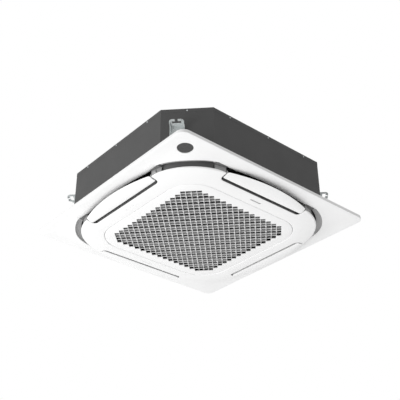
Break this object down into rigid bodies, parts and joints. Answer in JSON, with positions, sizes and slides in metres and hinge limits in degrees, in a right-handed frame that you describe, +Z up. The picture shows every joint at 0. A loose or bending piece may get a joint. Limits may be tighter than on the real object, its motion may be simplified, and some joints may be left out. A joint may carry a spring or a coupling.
{
  "type": "ceiling cassette air conditioner",
  "caption": "Square ceiling cassette indoor unit: bowed all-round outlet panel with swinging vanes, diagonal lattice return grille and eight-sided casing with hanger brackets.",
  "frame": {"origin": "middle of the unit on the ceiling's lower face, level with the top of the panel's rim", "axes": "+Z up through the casing; the sides face -X, +X, -Y and +Y; the grille's hinge is on -X and the sensor window in the +X -Y corner"},
  "size_m": [0.95, 0.95, 0.26],
  "materials": {
    "white_plastic": "satin white moulded plastic",
    "galvanised_sheet": "dark grey coated sheet steel",
    "bright_steel": "zinc plated steel",
    "grey_plastic": "satin grey plastic",
    "dark_plastic": "dark grey plastic",
    "black_plastic": "matt black plastic",
    "dark_foam": "soft closed-cell foam",
    "white_foam": "moulded foam",
    "copper_tube": "drawn copper",
    "brass_nut": "turned brass",
    "aluminium_fins": "bare fins",
    "board": "green circuit board"
  },
  "bodies": {
    "casing": {"panel_frame": "white_plastic", "panel_core": "white_plastic", "terminal_block": "white_plastic", "drain_pump": "white_plastic", "casing_shell": "galvanised_sheet", "casing_top": "galvanised_sheet", "motor_mount": "galvanised_sheet", "coil_plate_1": "galvanised_sheet", "coil_plate_2": "galvanised_sheet", "control_box": "galvanised_sheet", "control_box_cover": "galvanised_sheet", "fresh_air_cover": "galvanised_sheet", "pipe_plate": "galvanised_sheet", "hinge_pin_1": "bright_steel", "hinge_pin_2": "bright_steel", "panel_bolt_1": "bright_steel", "panel_bolt_2": "bright_steel", "panel_bolt_3": "bright_steel", "panel_bolt_4": "bright_steel", "hanger_bracket_1": "bright_steel", "hanger_bracket_2": "bright_steel", "hanger_bracket_3": "bright_steel", "hanger_bracket_4": "bright_steel", "drain_hose": "grey_plastic", "drain_spout": "grey_plastic", "vane_motor_1": "grey_plastic", "vane_motor_2": "grey_plastic", "vane_motor_3": "grey_plastic", "vane_motor_4": "grey_plastic", "vane_bush_1": "grey_plastic", "vane_bush_2": "grey_plastic", "vane_bush_3": "grey_plastic", "vane_bush_4": "grey_plastic", "sensor_window": "dark_plastic", "bell_mouth": "dark_plastic", "fan_motor": "black_plastic", "outlet_seal": "dark_foam", "insulation_liner": "dark_foam", "inner_duct_wall": "dark_foam", "drain_pan": "dark_foam", "gas_header": "copper_tube", "liquid_header": "copper_tube", "gas_pipe": "copper_tube", "liquid_pipe": "copper_tube", "gas_flare_nut": "brass_nut", "liquid_flare_nut": "brass_nut", "coil_fins": "aluminium_fins", "circuit_board": "board"},
    "grille": {"intake_grille": "white_plastic", "filter_frame": "black_plastic", "filter_mesh": "black_plastic"},
    "latch": {"latch_slide": "white_plastic"},
    "fan_wheel": {"turbo_fan": "dark_plastic", "fan_shroud": "dark_plastic", "motor_shaft": "bright_steel"},
    "float": {"pump_float": "white_foam"},
    "vane_1": {"vane_1": "white_plastic"},
    "vane_2": {"vane_2": "white_plastic"},
    "vane_3": {"vane_3": "white_plastic"},
    "vane_4": {"vane_4": "white_plastic"}
  },
  "joints": [
    {"name": "grille_hinge", "type": "hinge", "parent": "casing", "child": "grille", "pos_m": [-0.2975, 0, -0.0455], "axis": [0, 1, 0], "range_deg": [0, 90]},
    {"name": "latch_travel", "type": "slide", "parent": "casing", "child": "latch", "axis": [1, 0, 0], "range_m": [-0.004, 0]},
    {"name": "fan_spin", "type": "hinge", "parent": "casing", "child": "fan_wheel", "pos_m": [0, 0, 0.1], "axis": [0, 0, 1], "continuous": true},
    {"name": "float_travel", "type": "slide", "parent": "casing", "child": "float", "axis": [0, 0, 1], "range_m": [0, 0.008]},
    {"name": "vane_1_swing", "type": "hinge", "parent": "casing", "child": "vane_1", "pos_m": [0, -0.388, -0.024], "axis": [1, 0, 0], "range_deg": [0, 45]},
    {"name": "vane_2_swing", "type": "hinge", "parent": "casing", "child": "vane_2", "pos_m": [0.388, 0, -0.024], "axis": [0, 1, 0], "range_deg": [0, 45]},
    {"name": "vane_3_swing", "type": "hinge", "parent": "casing", "child": "vane_3", "pos_m": [0, 0.388, -0.024], "axis": [-1, 0, 0], "range_deg": [0, 45]},
    {"name": "vane_4_swing", "type": "hinge", "parent": "casing", "child": "vane_4", "pos_m": [-0.388, 0, -0.024], "axis": [0, -1, 0], "range_deg": [0, 45]}
  ]
}
